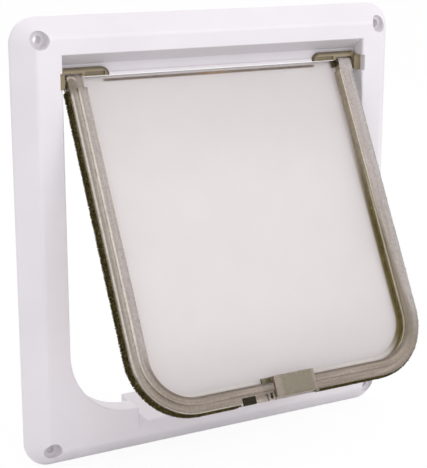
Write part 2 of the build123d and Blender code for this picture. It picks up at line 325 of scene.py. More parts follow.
    def between(self, factor: Socket, low: float, high: float) -> Socket:
        """Value that goes from one number to another with a factor.

        Args:
            factor: Factor socket.
            low: Value at 0.
            high: Value at 1.

        Returns:
            The value.
        """
        node = self.tree.nodes.new("ShaderNodeMapRange")
        node.inputs["To Min"].default_value = low
        node.inputs["To Max"].default_value = high
        self.link(factor, node.inputs["Value"])
        return node.outputs["Result"]

    def mix(self, factor: Socket, under: Socket, over: Socket, how: str = "MIX") -> Socket:
        """Lay one colour over another by a factor.

        Args:
            factor: Share of the upper colour.
            under: Lower colour.
            over: Upper colour.
            how: The node's way of blending.

        Returns:
            The mixed colour.
        """
        node = self.tree.nodes.new("ShaderNodeMix")
        node.data_type = "RGBA"
        node.blend_type = how
        colours = [socket for socket in node.inputs if socket.type == "RGBA"]
        self.link(factor, node.inputs["Factor"])
        self.link(under, colours[0])
        self.link(over, colours[1])
        return next(socket for socket in node.outputs if socket.type == "RGBA")

    def paint(self, colour: Socket, layers: Sequence[Tuple[Socket, Pair, Socket]]) -> Socket:
        """Lay layers of two tones over a colour.

        Args:
            colour: Lowest colour.
            layers: Factor, tones and noise of each layer, from the lowest up.

        Returns:
            The painted colour.
        """
        for factor, pair, pattern in layers:
            colour = self.mix(factor, colour, self.tones(pattern, *pair))
        return colour

    def coat(self, colour: Socket, rough: Optional[Socket] = None) -> None:
        """Feed the shader's colour, and its roughness where that varies.

        Args:
            colour: Colour of the surface.
            rough: Roughness of the surface.
        """
        self.link(colour, self.shader.inputs["Base Color"])
        if rough is not None:
            self.link(rough, self.shader.inputs["Roughness"])

    def absorb(self, colour: Colour, density: float) -> None:
        """Tint the light by the thickness it goes through.

        Args:
            colour: Colour that is let through.
            density: Strength of the tint for each metre.
        """
        node = self.tree.nodes.new("ShaderNodeVolumeAbsorption")
        node.inputs["Color"].default_value = (*colour, 1.0)
        node.inputs["Density"].default_value = density
        self.link(node.outputs["Volume"], self.output.inputs["Volume"])

    def bump(self, source: Socket, strength: float, depth: float) -> None:
        """Drive the shader's normal with a height.

        Args:
            source: Height socket.
            strength: Share of the bump that shows.
            depth: Height of the bump in metres.
        """
        node = self.tree.nodes.new("ShaderNodeBump")
        node.inputs["Strength"].default_value = strength
        node.inputs["Distance"].default_value = depth
        self.link(source, node.inputs["Height"])
        self.link(node.outputs["Normal"], self.shader.inputs["Normal"])

    def set(self, **sockets: float) -> None:
        """Set constants on the shader's own sockets, with spaces written as underscores."""
        for name, value in sockets.items():
            self.shader.inputs[name.replace("_", " ")].default_value = value


@dataclass(frozen=True)
class MouldedWhite:
    """Satin white moulded plastic with faint clouds and a fine grain, with painted shade under the
    top rail and round the front of the counterbores.

    A noise is given by its scale, detail and roughness, and a bump by its strength and depth.
    """

    name: str = "moulded_white"
    face: Pair = ((0.775, 0.735, 0.775), (0.815, 0.775, 0.815))
    rail_shade: Pair = ((0.61, 0.575, 0.605), (0.65, 0.615, 0.645))
    screw_shade: Pair = ((0.63, 0.60, 0.625), (0.69, 0.66, 0.685))
    soffit_depth: Spots = (-0.0109, -0.0100, -0.0029, -0.0020)
    soffit_side: Spots = (0.0762, 0.0755)
    soffit_height: Spots = (0.071, 0.083, 0.0850, 0.0856)
    screw_x: float = 0.0853
    screw_z: float = 0.0907
    screw_ring: Spots = (0.0019, 0.0021, 0.0036, 0.0040)
    screw_depth: Spots = (-0.0020, -0.0030)
    cloud: Spots = (24.0, 3.0)
    grain: Spots = (2600.0, 2.0)
    rough: Span = (0.46, 0.36)
    bump: Span = (0.08, 0.00004)

    def make(self) -> bpy.types.Material:
        """Build the material.

        Returns:
            The finished material.
        """
        bench = NodeBench(self.name)
        cloud = bench.noise(*self.cloud)
        across, deep, up = bench.axes(bench.place)
        side = bench.math("ABSOLUTE", across)
        # Painted shade: greyer under the top rail, where its shadow falls.
        soffit_shade = bench.all_of(
            bench.zone(deep, self.soffit_depth),
            bench.zone(side, self.soffit_side),
            bench.zone(up, self.soffit_height),
        )
        from_screw = bench.length(
            bench.math("SUBTRACT", side, self.screw_x),
            bench.math("SUBTRACT", bench.math("ABSOLUTE", up), self.screw_z),
        )
        # Painted shade: greyer round the front of the counterbores.
        counterbore_shade = bench.all_of(
            bench.zone(from_screw, self.screw_ring), bench.zone(deep, self.screw_depth)
        )
        layers = ((soffit_shade, self.rail_shade, cloud), (counterbore_shade, self.screw_shade, cloud))
        colour = bench.paint(bench.tones(cloud, *self.face), layers)
        bench.coat(colour, bench.spread(cloud, *self.rough))
        bench.bump(bench.noise(*self.grain), *self.bump)
        bench.set(IOR=1.49, Specular_IOR_Level=0.42)
        return bench.material


@dataclass
class FlapFrame:
    """Axes of the open flap, from the hinge: X across, then up along it, then out of its face."""

    hinge: Vector
    open_angle: float = math.radians(28.0)

    @classmethod
    def from_record(cls) -> "FlapFrame":
        """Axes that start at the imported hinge."""
        joint = next(item for item in frame["joints"] if item["name"] == "flap_hinge")
        return cls(hinge=Vector(joint["pos_m"]))

    def turn(self) -> Euler:
        """Turn from the row frame to the flap's axes."""
        return Euler((QUARTER_TURN - self.open_angle, 0.0, 0.0))

    def matrix(self) -> Matrix:
        """Matrix from the flap's axes to the row frame."""
        return Matrix.Translation(self.hinge) @ self.turn().to_matrix().to_4x4()

    def node_box(self, node: str) -> Tuple[Vector, Vector]:
        """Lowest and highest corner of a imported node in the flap's axes.

        Args:
            node: Name of the node.

        Returns:
            The two corners.
        """
        inward = self.matrix().inverted()
        spots = [inward @ vertex.co for vertex in frame["nodes"][node].data.vertices]
        low = Vector([min(spot[axis] for spot in spots) for axis in range(3)])
        high = Vector([max(spot[axis] for spot in spots) for axis in range(3)])
        return low, high


# Zones of the flap's tints: what is measured, then the two values between which the zone sets in,
# and in a band also the two between which it ends. "inward" is how far the surface faces the
# middle, from -1 to 1, and all other measures are in metres.
FLAP_ZONES: Dict[str, Tuple[str, Spots]] = {
    "left": ("across", (0.0, -0.04)),
    "right": ("across", (0.0, 0.04)),
    "between_arms": ("span", (0.0550, 0.0530)),
    "hinge_middle": ("span", (0.0100, 0.0040)),
    "pivot_side": ("span", (0.0623, 0.0645, 0.0655, 0.0657)),
    "pivot": ("along", (-0.0020, -0.0010, 0.0030, 0.0040)),
    "hinge_gap": ("along", (-0.0007, -0.0001, 0.0006, 0.0012)),
    "pin_top": ("along", (-0.0014, 0.0004)),
    "ear": ("along", (-0.0080, -0.0036)),
    "depth_start": ("along", (-0.025, -0.082)),
    "sheen_run": ("along", (-0.045, -0.070)),
    "gleam_run": ("along", (-0.085, -0.060)),
    "middle": ("along", (-0.138, -0.105, -0.060, -0.005)),
    "bottom": ("along", (-0.112, -0.140)),
    "upper": ("along", (-0.140, -0.112)),
    "bend_run": ("along", (-0.117, -0.125)),
    "upturn": ("along", (-0.1405, -0.130)),
    "flat": ("out", (0.0012, 0.0003)),
    "rim": ("out", (0.0003, 0.0012)),
    "wall_back": ("out", (0.0044, 0.0030)),
    "wall_front": ("out", (0.0042, 0.0046)),
    "sheen": ("out", (0.0031, 0.0037, 0.0044, 0.0048)),
    "low_ridge": ("inset", (0.0006, 0.0003)),
    "outermost": ("inset", (0.0012, 0.0007)),
    "side_ridge": ("inset", (0.0013, 0.0009)),
    "hollow": ("inset", (0.0011, 0.0014, 0.0018, 0.0034)),
    "step_ridge": ("inset", (0.0031, 0.0033, 0.0041, 0.0045)),
    "raised": ("inset", (0.0032, 0.0036)),
    "ear_side": ("inset", (0.0046, 0.0030)),
    "fade_start": ("inset", (0.0054, 0.0078)),
    "brink": ("inset", (0.0056, 0.0060, 0.0069, 0.0073)),
    "foot": ("inset", (0.0076, 0.0078, 0.0082, 0.0088)),
    "wall_foot": ("inset", (0.0101, 0.0089)),
    "brown": ("widened", (0.0076, 0.0106)),
    "pin_ring": ("from_pin", (0.0012, 0.0016, 0.0023, 0.0028)),
    "outward": ("inward", (-0.15, -0.5)),
    "shoulder": ("inward", (0.1, 0.3, 0.6, 0.85)),
    "bend": ("inward", (0.25, 0.6)),
    "steep": ("inward", (0.7, 0.95)),
}


@dataclass(frozen=True)
class FlapTint:
    """Frosted smoke plastic of the flap: pale thin panel, brown rim, olive inner walls, with
    painted shade at the walls' foot, in the groove, along the rim's bottom edge and under the
    hinge, painted highlights along the left rim and at the left pivot, and the rim's right side
    painted lighter.

    A noise is given by its scale, detail and roughness, and a bump by its strength and depth.
    """

    axes: FlapFrame
    name: str = "smoke_flap"
    panel_ends: Pair = ((0.785, 0.74, 0.75), (0.805, 0.76, 0.77))
    panel_middle: Pair = ((0.865, 0.82, 0.83), (0.885, 0.84, 0.85))
    lip: Pair = ((0.42, 0.37, 0.325), (0.58, 0.52, 0.47))
    lip_right_lit: Pair = ((0.475, 0.433, 0.416), (0.655, 0.608, 0.602))
    band: Pair = ((0.35, 0.295, 0.275), (0.50, 0.43, 0.415))
    band_right_lit: Pair = ((0.403, 0.339, 0.316), (0.575, 0.495, 0.477))
    band_edge: Pair = ((0.49, 0.44, 0.42), (0.58, 0.53, 0.51))
    low: Pair = ((0.21, 0.16, 0.115), (0.39, 0.31, 0.245))
    ridge: Pair = ((0.66, 0.59, 0.50), (0.86, 0.79, 0.70))
    groove: Pair = ((0.20, 0.17, 0.13), (0.29, 0.25, 0.20))
    inner_wall: Pair = ((0.50, 0.42, 0.31), (0.64, 0.55, 0.42))
    deep_wall_shade: Pair = ((0.13, 0.095, 0.02), (0.27, 0.21, 0.075))
    wall_foot_shade: Pair = ((0.19, 0.145, 0.05), (0.28, 0.22, 0.10))
    inner_brown_shade: Pair = ((0.15, 0.11, 0.07), (0.25, 0.195, 0.14))
    outer_wall_shade: Pair = ((0.26, 0.22, 0.17), (0.38, 0.33, 0.265))
    ear: Pair = ((0.28, 0.225, 0.19), (0.36, 0.295, 0.26))
    ear_outer: Pair = ((0.13, 0.095, 0.055), (0.21, 0.16, 0.105))
    pin_ring_highlight: Pair = ((0.48, 0.385, 0.32), (0.68, 0.57, 0.49))
    pivot_shade: Pair = ((0.035, 0.024, 0.006), (0.075, 0.055, 0.02))
    foot_highlight: Pair = ((0.90, 0.85, 0.78), (0.96, 0.93, 0.88))
    gleam: Pair = ((0.84, 0.76, 0.50), (0.95, 0.88, 0.68))
    edge: Pair = ((0.10, 0.065, 0.04), (0.17, 0.12, 0.08))
    hinge_shadow_line: Pair = ((0.15, 0.11, 0.082), (0.26, 0.205, 0.16))
    hinge_shadow_warm: Pair = ((0.27, 0.165, 0.10), (0.40, 0.26, 0.17))
    pin_x: float = 0.0707
    pin_drop: float = 0.0010
    widening_start: float = 0.047
    widening_slope: float = -0.062
    line_stretch: float = 0.05
    deep_share: Span = (0.2, 1.0)
    fade_share: Span = (0.0, 0.7)
    stipple_share: Span = (0.86, 1.18)
    right_light_share: Span = (0.96, 1.08)
    haze: Spots = (55.0, 3.0)
    streak: Spots = (260.0, 4.0, 0.6)
    lines: Spots = (900.0, 3.0, 0.6)
    stipple: Spots = (850.0, 2.0, 0.6)
    grain: Spots = (1500.0, 2.0)
    rough: Span = (0.55, 0.24)
    bump: Span = (0.05, 0.00002)
    through: Colour = (0.55, 0.45, 0.32)
    density: float = 50.0

    def measures(self, bench: NodeBench) -> Dict[str, Socket]:
        """Values that the zones are measured by.

        Args:
            bench: The material's node bench.

        Returns:
            The value sockets by name.
        """
        turn = self.axes.turn()
        across, along, out = bench.axes(bench.local(bench.place, self.axes.hinge, turn))
        normal = bench.local(bench.coordinates.outputs["Normal"], Vector(), turn)
        to_middle = bench.math("MULTIPLY", bench.math("SIGN", across), -1.0)
        inset = bench.inset(across, along, PileStrip.from_node(Side.RIGHT, self.axes))
        below = bench.math("ADD", along, self.widening_start)
        widening = bench.math("MAXIMUM", bench.math("MULTIPLY", below, self.widening_slope), 0.0)
        return {
            "across": across,
            "span": bench.math("ABSOLUTE", across),
            "along": along,
            "out": out,
            "inset": inset,
            "widened": bench.math("ADD", inset, widening),
            "inward": bench.math("MULTIPLY", bench.axes(normal)[0], to_middle),
            "from_pin": bench.length(
                bench.math("ADD", across, self.pin_x), bench.math("ADD", along, self.pin_drop)
            ),
        }

    def zones(self, bench: NodeBench, measures: Dict[str, Socket]) -> Dict[str, Socket]:
        """Factors of the zones that the layers are made of.

        Args:
            bench: The material's node bench.
            measures: Values that the zones are measured by.

        Returns:
            The factor sockets by name.
        """
        at = {
            name: bench.zone(measures[measure], spots)
            for name, (measure, spots) in FLAP_ZONES.items()
        }
        at["wall"] = bench.math("MAXIMUM", at["steep"], bench.all_of(at["bend"], at["bend_run"]))
        at["deep"] = bench.between(at["depth_start"], *self.deep_share)
        at["fade"] = bench.between(at["fade_start"], *self.fade_share)
        return at

    def make(self) -> bpy.types.Material:
        """Build the material.

        Returns:
            The finished material.
        """
        bench = NodeBench(self.name)
        measures = self.measures(bench)
        at = self.zones(bench, measures)
        haze = bench.noise(*self.haze)
        streak = bench.noise(*self.streak)
        run = bench.math(
            "MULTIPLY",
            bench.math("SUBTRACT", measures["across"], measures["along"]),
            self.line_stretch,
        )
        lines = bench.noise(*self.lines, bench.vector(measures["inset"], run))
        layers = (
            ("middle", self.panel_middle, haze),
            # Painted highlight: a light line on the panel along the foot of the bottom rim.
            ("foot flat bottom", self.foot_highlight, haze),
            # Painted shade: a dark olive band on the panel at the foot of the right inner wall.
            ("flat right upturn deep wall_foot", self.wall_foot_shade, streak),
            ("rim", self.lip, lines),
            # Painted light: the right side of the rim lighter.
            ("rim right upper", self.lip_right_lit, lines),
            ("rim raised", self.band, lines),
            # Painted light: the raised band on the right lighter too.
            ("rim right upper raised", self.band_right_lit, lines),
            ("rim left raised upper fade", self.band_edge, lines),
            # Painted shade: darker in the groove on the left.
            ("rim left hollow upper", self.groove, lines),
            # Painted shade: the rim darker and browner along the bottom.
            ("rim bottom", self.low, lines),
            # Painted shade: a brown band on the right rim's face beside the inner wall, wider lower
            # down.
            ("rim right upturn brown", self.inner_brown_shade, lines),
            # Painted highlights: light lines along the left rim's outer edge and step.
            ("rim left low_ridge", self.ridge, streak),
            ("rim left side_ridge upper", self.ridge, streak),
            ("rim left step_ridge upper", self.ridge, streak),
            ("rim wall", self.inner_wall, streak),
            # Painted shade: the inner walls darker at their foot and lower down, and brown on the
            # right wall's upper part.
            ("wall deep wall_back", self.deep_wall_shade, streak),
            ("wall deep right wall_front", self.inner_brown_shade, streak),
            ("wall sheen sheen_run", self.gleam, streak),
            # Painted shade: darker on the rim's outer wall beside the pile.
            ("rim outward outermost", self.outer_wall_shade, streak),
            ("rim shoulder gleam_run", self.gleam, streak),
            ("rim left ear", self.ear, streak),
            ("rim left ear ear_side", self.ear_outer, streak),
            # Painted highlight: a light ring round the left pivot pin.
            ("rim pin_ring pin_top", self.pin_ring_highlight, streak),
            ("right pivot pivot_side", self.pivot_shade, streak),
            # Painted shade: a dark line along the bottom rim's inner edge.
            ("rim brink bottom", self.edge, streak),
            # Painted shadow: a dark line across the panel's top under the header, warmer in the
            # middle.
            ("flat between_arms hinge_gap", self.hinge_shadow_line, streak),
            ("flat hinge_gap hinge_middle", self.hinge_shadow_warm, streak),
        )
        placed = [
            (bench.all_of(*(at[name] for name in names.split())), pair, pattern)
            for names, pair, pattern in layers
        ]
        colour = bench.paint(bench.tones(haze, *self.panel_ends), placed)
        # Random stipple over the rim, with painted light making its right side a little lighter.
        grade = bench.all_of(
            bench.spread(bench.noise(*self.stipple), *self.stipple_share),
            bench.between(at["right"], *self.right_light_share),
        )
        colour = bench.mix(at["rim"], colour, grade, "MULTIPLY")
        bench.coat(colour, bench.between(at["rim"], *self.rough))
        bench.bump(bench.noise(*self.grain), *self.bump)
        bench.set(IOR=1.5, Transmission_Weight=0.5)
        bench.absorb(self.through, self.density)
        return bench.material


@dataclass(frozen=True)
class SmokeStock:
    """Smoke-brown clear plastic that the bearings and the lock are moulded in."""

    grain: Spots = (1500.0, 2.0)
    rough: Span = (0.22, 0.34)
    bump: Span = (0.08, 0.00003)
    through: Colour = (0.6, 0.5, 0.34)
    density: float = 90.0

    def finish(self, bench: NodeBench, colour: Socket, cloud: Socket) -> bpy.types.Material:
        """Complete a material of this plastic.

        Args:
            bench: The material's node bench.
            colour: Colour of the surface.
            cloud: Noise that varies the roughness.

        Returns:
            The finished material.
        """
        bench.coat(colour, bench.spread(cloud, *self.rough))
        bench.bump(bench.noise(*self.grain), *self.bump)
        bench.set(IOR=1.5, Transmission_Weight=0.35)
        bench.absorb(self.through, self.density)
        return bench.material


@dataclass(frozen=True)
class BearingTint:
    """Plastic of the hinge bearings, with painted shade on set-back faces and round the arms' top
    and inner ends, and a painted highlight line along the arms.
    """

    name: str = "smoke_bearing"
    stock: SmokeStock = SmokeStock()
    face: Pair = ((0.36, 0.285, 0.175), (0.43, 0.345, 0.22))
    shade: Pair = ((0.22, 0.165, 0.09), (0.29, 0.225, 0.135))
    line: Pair = ((0.44, 0.36, 0.235), (0.54, 0.45, 0.31))
    outline: Pair = ((0.10, 0.075, 0.035), (0.17, 0.13, 0.07))
    arm_low: float = 0.0742
    arm_h: float = 0.0039
    arm_start: Spots = (0.0738, 0.0730)
    shade_depth: Spots = (-0.0048, -0.0044)
    shade_share: Span = (0.0, 0.6)
    line_height: Spots = (0.0017, 0.0020, 0.0023, 0.0026)
    outline_reach: Spots = (0.0024, 0.0036)
    cloud: Spots = (110.0, 3.0)

    @staticmethod
    def arm_end() -> float:
        """Distance of the arms' inner ends from the middle."""
        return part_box("hinge_bearing_right")[0][0]

    def make(self) -> bpy.types.Material:
        """Build the material.

        Returns:
            The finished material.
        """
        bench = NodeBench(self.name)
        cloud = bench.noise(*self.cloud)
        across, deep, up = bench.axes(bench.place)
        span = bench.math("ABSOLUTE", across)
        on_arm = bench.zone(span, self.arm_start)
        round_start = self.arm_end() + self.arm_h
        back = bench.math("MINIMUM", bench.math("SUBTRACT", span, round_start), 0.0)
        rise = bench.math("SUBTRACT", up, self.arm_low)
        # Painted shade: set-back faces darker.
        shaded = bench.between(bench.zone(deep, self.shade_depth), *self.shade_share)
        # Painted highlight: a light line along the arms at mid-height.
        line_highlight = bench.all_of(on_arm, bench.zone(rise, self.line_height))
        # Painted shade: a dark outline along the arms' top and round inner ends.
        outline_shade = bench.all_of(on_arm, bench.zone(bench.length(back, rise), self.outline_reach))
        layers = (
            (shaded, self.shade, cloud),
            (line_highlight, self.line, cloud),
            (outline_shade, self.outline, cloud),
        )
        colour = bench.paint(bench.tones(cloud, *self.face), layers)
        return self.stock.finish(bench, colour, cloud)


@dataclass(frozen=True)
class LockTint:
    """Plastic of the lock block, pinker at its ends and olive on its tongues."""

    axes: FlapFrame
    name: str = "smoke_lock"
    stock: SmokeStock = SmokeStock()
    face: Pair = ((0.225, 0.185, 0.118), (0.285, 0.24, 0.165))
    ends: Pair = ((0.31, 0.245, 0.185), (0.42, 0.34, 0.27))
    tongue: Pair = ((0.13, 0.11, 0.035), (0.21, 0.18, 0.075))
    left_end: Spots = (-0.0060, -0.0074)
    right_end: Spots = (0.0084, 0.0092)
    rounding: Spots = (0.97, 0.75)
    tongue_depth: Spots = (0.0032, 0.0024)
    cloud: Spots = (150.0, 3.0)

    def make(self) -> bpy.types.Material:
        """Build the material.

        Returns:
            The finished material.
        """
        bench = NodeBench(self.name)
        cloud = bench.noise(*self.cloud)
        turn = self.axes.turn()
        across, _, out = bench.axes(bench.local(bench.place, self.axes.hinge, turn))
        normal = bench.local(bench.coordinates.outputs["Normal"], Vector(), turn)
        outward = bench.axes(normal)[2]
        ends = bench.math(
            "MAXIMUM", bench.zone(across, self.left_end), bench.zone(across, self.right_end)
        )
        ends = bench.math("MAXIMUM", ends, bench.zone(outward, self.rounding))
        layers = (
            (ends, self.ends, cloud),
            (bench.zone(out, self.tongue_depth), self.tongue, cloud),
        )
        colour = bench.paint(bench.tones(cloud, *self.face), layers)
        return self.stock.finish(bench, colour, cloud)


@dataclass(frozen=True)
class PileFibre:
    """Dark brown pile with lighter fibre tips here and there."""

    name: str = "pile_fibre"
    pile: Pair = ((0.018, 0.012, 0.003), (0.100, 0.076, 0.024))
    tip: Pair = ((0.13, 0.105, 0.045), (0.26, 0.225, 0.105))
    tip_share: Spots = (0.55, 0.66)
    clump: Spots = (480.0, 5.0, 0.7)
    tips: Spots = (1300.0, 2.0)
    grain: Spots = (4200.0, 2.0)
    bump: Span = (0.3, 0.0001)

    def make(self) -> bpy.types.Material:
        """Build the material.

        Returns:
            The finished material.
        """
        bench = NodeBench(self.name)
        clump = bench.noise(*self.clump)
        tips = bench.zone(bench.noise(*self.tips), self.tip_share)
        bench.coat(bench.paint(bench.tones(clump, *self.pile), ((tips, self.tip, clump),)))
        bench.bump(bench.noise(*self.grain), *self.bump)
        bench.set(Roughness=0.95, Specular_IOR_Level=0.06)
        return bench.material


@dataclass(frozen=True)
class Ferrite:
    """Black sintered magnet with a dull, slightly brown surface."""

    name: str = "sintered_ferrite"
    face: Pair = ((0.008, 0.006, 0.003), (0.032, 0.024, 0.013))
    speck: Spots = (1800.0, 4.0, 0.6)
    bump: Span = (0.2, 0.00006)

    def make(self) -> bpy.types.Material:
        """Build the material.

        Returns:
            The finished material.
        """
        bench = NodeBench(self.name)
        speck = bench.noise(*self.speck)
        bench.coat(bench.tones(speck, *self.face))
        bench.bump(speck, *self.bump)
        bench.set(Roughness=0.75, Specular_IOR_Level=0.2)
        return bench.material


@dataclass
class Finishes:
    """The object's finishes, made once and shared by its pieces."""

    axes: FlapFrame
    white: bpy.types.Material = field(init=False)
    flap: bpy.types.Material = field(init=False)
    bearing: bpy.types.Material = field(init=False)
    lock: bpy.types.Material = field(init=False)
    pile: bpy.types.Material = field(init=False)
    ferrite: bpy.types.Material = field(init=False)

    def __post_init__(self) -> None:
        """Make the materials."""
        self.white = MouldedWhite().make()
        self.flap = FlapTint(self.axes).make()
        self.bearing = BearingTint().make()
        self.lock = LockTint(self.axes).make()
        self.pile = PileFibre().make()
        self.ferrite = Ferrite().make()


def dress(node: str, body: Body, material: bpy.types.Material) -> None:
    """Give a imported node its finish.

    Args:
        node: Name of the node.
        body: Body that the node is packed on.
        material: Finish for all of it.
    """
    mesh = frame["nodes"][node].data
    mesh.materials.clear()
    mesh.materials.append(material)
    LOG.info("dressed %s on %s in %s", node, body.value, material.name)


def make_piece(
    name: str, bm: bmesh.types.BMesh, material: bpy.types.Material
) -> bpy.types.Object:
    """Turn a finished bmesh into an object at the origin.

    Args:
        name: Name of the piece.
        bm: Mesh with its place applied; it is freed.
        material: Finish for all of it.

    Returns:
        The new object.
    """
    mesh = bpy.data.meshes.new(name)
    bm.to_mesh(mesh)
    bm.free()
    mesh.materials.append(material)
    piece = bpy.data.objects.new(name, mesh)
    bpy.context.scene.collection.objects.link(piece)
    LOG.info("made %s with %d faces", name, len(mesh.polygons))
    return piece


@dataclass
class Surround:
    """Fixed mouldings: the door surround, its sill, the hinge bearings and the hidden magnet."""

    finishes: Finishes

    def build(self) -> None:
        """Dress the fixed nodes."""
        for node, material in (
            ("frame", self.finishes.white),
            ("sill", self.finishes.white),
            ("hinge_bearing_left", self.finishes.bearing),
            ("hinge_bearing_right", self.finishes.bearing),
            ("sill_magnet", self.finishes.ferrite),
        ):
            dress(node, Body.SURROUND, material)


@dataclass
class PileStrip:
    """One pile draught strip: a tape in the rim's groove with rows of tufts, round a lower corner.

    It is made on the right side, in the flap's axes, and mirrored for the left.
    """

    side: Side
    end_x: float
    half_w: float
    low: float
    start: float
    back: float
    width: float
    reach: float = 0.0011
    corner_r: float = 0.0266
    corner_steps: int = 24
    bed: float = 0.00095
    tape_out: float = 0.0002
    step: float = 0.0005
    rows: int = 8
    jitter: float = 0.3
    tuft_r: float = 0.0003
    tuft_sides: int = 4
    tip_share: float = 0.45
    tuft_share: Span = (0.72, 0.98)
    lean: float = 0.22
    seed: int = 7
    batch: int = 20

    @classmethod
    def from_node(cls, side: Side, axes: FlapFrame) -> "PileStrip":
        """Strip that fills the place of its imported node.

        Args:
            side: Which strip.
            axes: The flap's axes.

        Returns:
            The strip with its sizes.
        """
        low, high = axes.node_box(f"pile_strip_{side.name.lower()}")
        ends = sorted((abs(low.x), abs(high.x)))
        return cls(
            side=side,
            end_x=ends[0],
            half_w=ends[1] - cls.reach,
            low=low.y + cls.reach,
            start=high.y,
            back=low.z,
            width=high.z - low.z,
        )

    def straight_length(self) -> float:
        """Length of the run down the flap's side."""
        return self.start - self.low - self.corner_r

    def arc_length(self) -> float:
        """Length of the run round the corner."""
        return self.corner_r * QUARTER_TURN

    def bottom_length(self) -> float:
        """Length of the run along the bottom."""
        return self.half_w - self.corner_r - self.end_x

    def corner_centre(self) -> Vector:
        """Middle of the round corner."""
        return Vector((self.half_w - self.corner_r, self.low + self.corner_r, 0.0))

    def station(self, run: float) -> Tuple[Vector, float]:
        """Place on the rim's edge at a distance along the strip.

        Args:
            run: Distance from the strip's upper end.

        Returns:
            The point, and the angle of the outward direction from +X.
        """
        down = self.straight_length()
        if run < down:
            return Vector((self.half_w, self.start - run, 0.0)), 0.0
        centre = self.corner_centre()
        turn = (run - down) / self.corner_r
        if turn < QUARTER_TURN:
            away = Vector((math.cos(turn), -math.sin(turn), 0.0))
            return centre + away * self.corner_r, -turn
        past = run - down - self.arc_length()
        return centre + Vector((-past, -self.corner_r, 0.0)), -QUARTER_TURN

    def add_tape(self, bm: bmesh.types.BMesh) -> None:
        """Sweep the tape's section down the side, round the corner and along the bottom.

        Args:
            bm: Mesh to add to.
        """
        inner = self.half_w - self.bed
        outer = self.half_w + self.tape_out
        front = self.back + self.width
        corners = ((inner, self.back), (outer, self.back), (outer, front), (inner, front))
        section = bm.faces.new([bm.verts.new((x, self.start, out)) for x, out in corners])
        grown = bmesh.ops.extrude_face_region(bm, geom=[section], use_keep_orig=True)["geom"]
        moved = [item for item in grown if isinstance(item, bmesh.types.BMVert)]
        bmesh.ops.translate(bm, verts=moved, vec=(0.0, -self.straight_length(), 0.0))
        lower = [item for item in grown if isinstance(item, bmesh.types.BMFace)]
        turned = bmesh.ops.spin(
            bm,
            geom=lower,
            cent=self.corner_centre(),
            axis=(0.0, 0.0, -1.0),
            angle=QUARTER_TURN,
            steps=self.corner_steps,
            use_merge=False,
        )["geom_last"]
        last = [item for item in turned if isinstance(item, bmesh.types.BMFace)]
        ended = bmesh.ops.extrude_face_region(bm, geom=last)["geom"]
        tail = [item for item in ended if isinstance(item, bmesh.types.BMVert)]
        bmesh.ops.translate(bm, verts=tail, vec=(-self.bottom_length(), 0.0, 0.0))

    def add_tuft(
        self, bm: bmesh.types.BMesh, run: float, out: float, dice: random.Random
    ) -> None:
        """Stand one tapered fibre tuft on the tape.

        Args:
            bm: Mesh to add to.
            run: Distance along the strip.
            out: Place across the strip.
            dice: Source of its length and lean.
        """
        spot, angle = self.station(run)
        spot.z = out
        length = (self.reach - self.tape_out) * dice.uniform(*self.tuft_share)
        tilts = [dice.uniform(-self.lean, self.lean) for _ in range(2)]
        lean = Euler((*tilts, 0.0)).to_matrix().to_4x4()
        upright = Matrix.Rotation(angle, 4, "Z") @ Matrix.Rotation(QUARTER_TURN, 4, "Y") @ lean
        stand = Matrix.Translation((0.0, 0.0, self.tape_out + length / 2))
        bmesh.ops.create_cone(
            bm,
            cap_ends=True,
            segments=self.tuft_sides,
            radius1=self.tuft_r,
            radius2=self.tuft_r * self.tip_share,
            depth=length,
            matrix=Matrix.Translation(spot) @ upright @ stand,
        )

    def add_tufts(self, bm: bmesh.types.BMesh) -> None:
        """Stand rows of fibre tufts on the tape, made in small batches because that is quicker.

        Args:
            bm: Mesh to add to.
        """
        dice = random.Random(self.seed + self.side.value)
        total = self.straight_length() + self.arc_length() + self.bottom_length()
        count = int(total / self.step)
        pitch = self.width / self.rows
        for first in range(0, count, self.batch):
            clump = bmesh.new()
            for number in range(first, min(first + self.batch, count)):
                for row in range(self.rows):
                    shift = dice.uniform(-self.jitter, self.jitter)
                    run = (number + 0.5 + shift) * self.step
                    self.add_tuft(clump, run, self.back + (row + 0.5) * pitch, dice)
            mesh = bpy.data.meshes.new("clump")
            clump.to_mesh(mesh)
            clump.free()
            bm.from_mesh(mesh)
            bpy.data.meshes.remove(mesh)

    def build(self, place: Matrix, material: bpy.types.Material) -> bpy.types.Object:
        """Make the strip in the row frame.

        Args:
            place: Matrix from the flap's axes to the row frame.
            material: Finish of the pile.

        Returns:
            The strip's object.
        """
        bm = bmesh.new()
        self.add_tape(bm)
        self.add_tufts(bm)
        if self.side is Side.LEFT:
            bmesh.ops.scale(bm, vec=(-1.0, 1.0, 1.0), verts=bm.verts)
        bmesh.ops.recalc_face_normals(bm, faces=bm.faces)
        bmesh.ops.transform(bm, matrix=place, verts=bm.verts)
        return make_piece(f"pile_{self.side.name.lower()}", bm, material)


@dataclass
class FlapDoor:
    """Swinging flap: the tinted moulding, its magnet and its pile strips."""

    finishes: Finishes
    axes: FlapFrame

    def build(self) -> None:
        """Dress the moulding and the magnet, and make the strips."""
        dress("flap", Body.FLAP, self.finishes.flap)
        dress("flap_magnet", Body.FLAP, self.finishes.ferrite)
        for side in Side:
            pile = PileStrip.from_node(side, self.axes)
            strip = pile.build(self.axes.matrix(), self.finishes.pile)
            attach(strip, Body.FLAP.value)
            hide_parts(f"pile_strip_{side.name.lower()}")


@dataclass
class SlideLock:
    """Lock block in the flap's bottom rim."""

    finishes: Finishes

    def build(self) -> None:
        """Dress the block."""
        dress("lock_slide", Body.LOCK, self.finishes.lock)


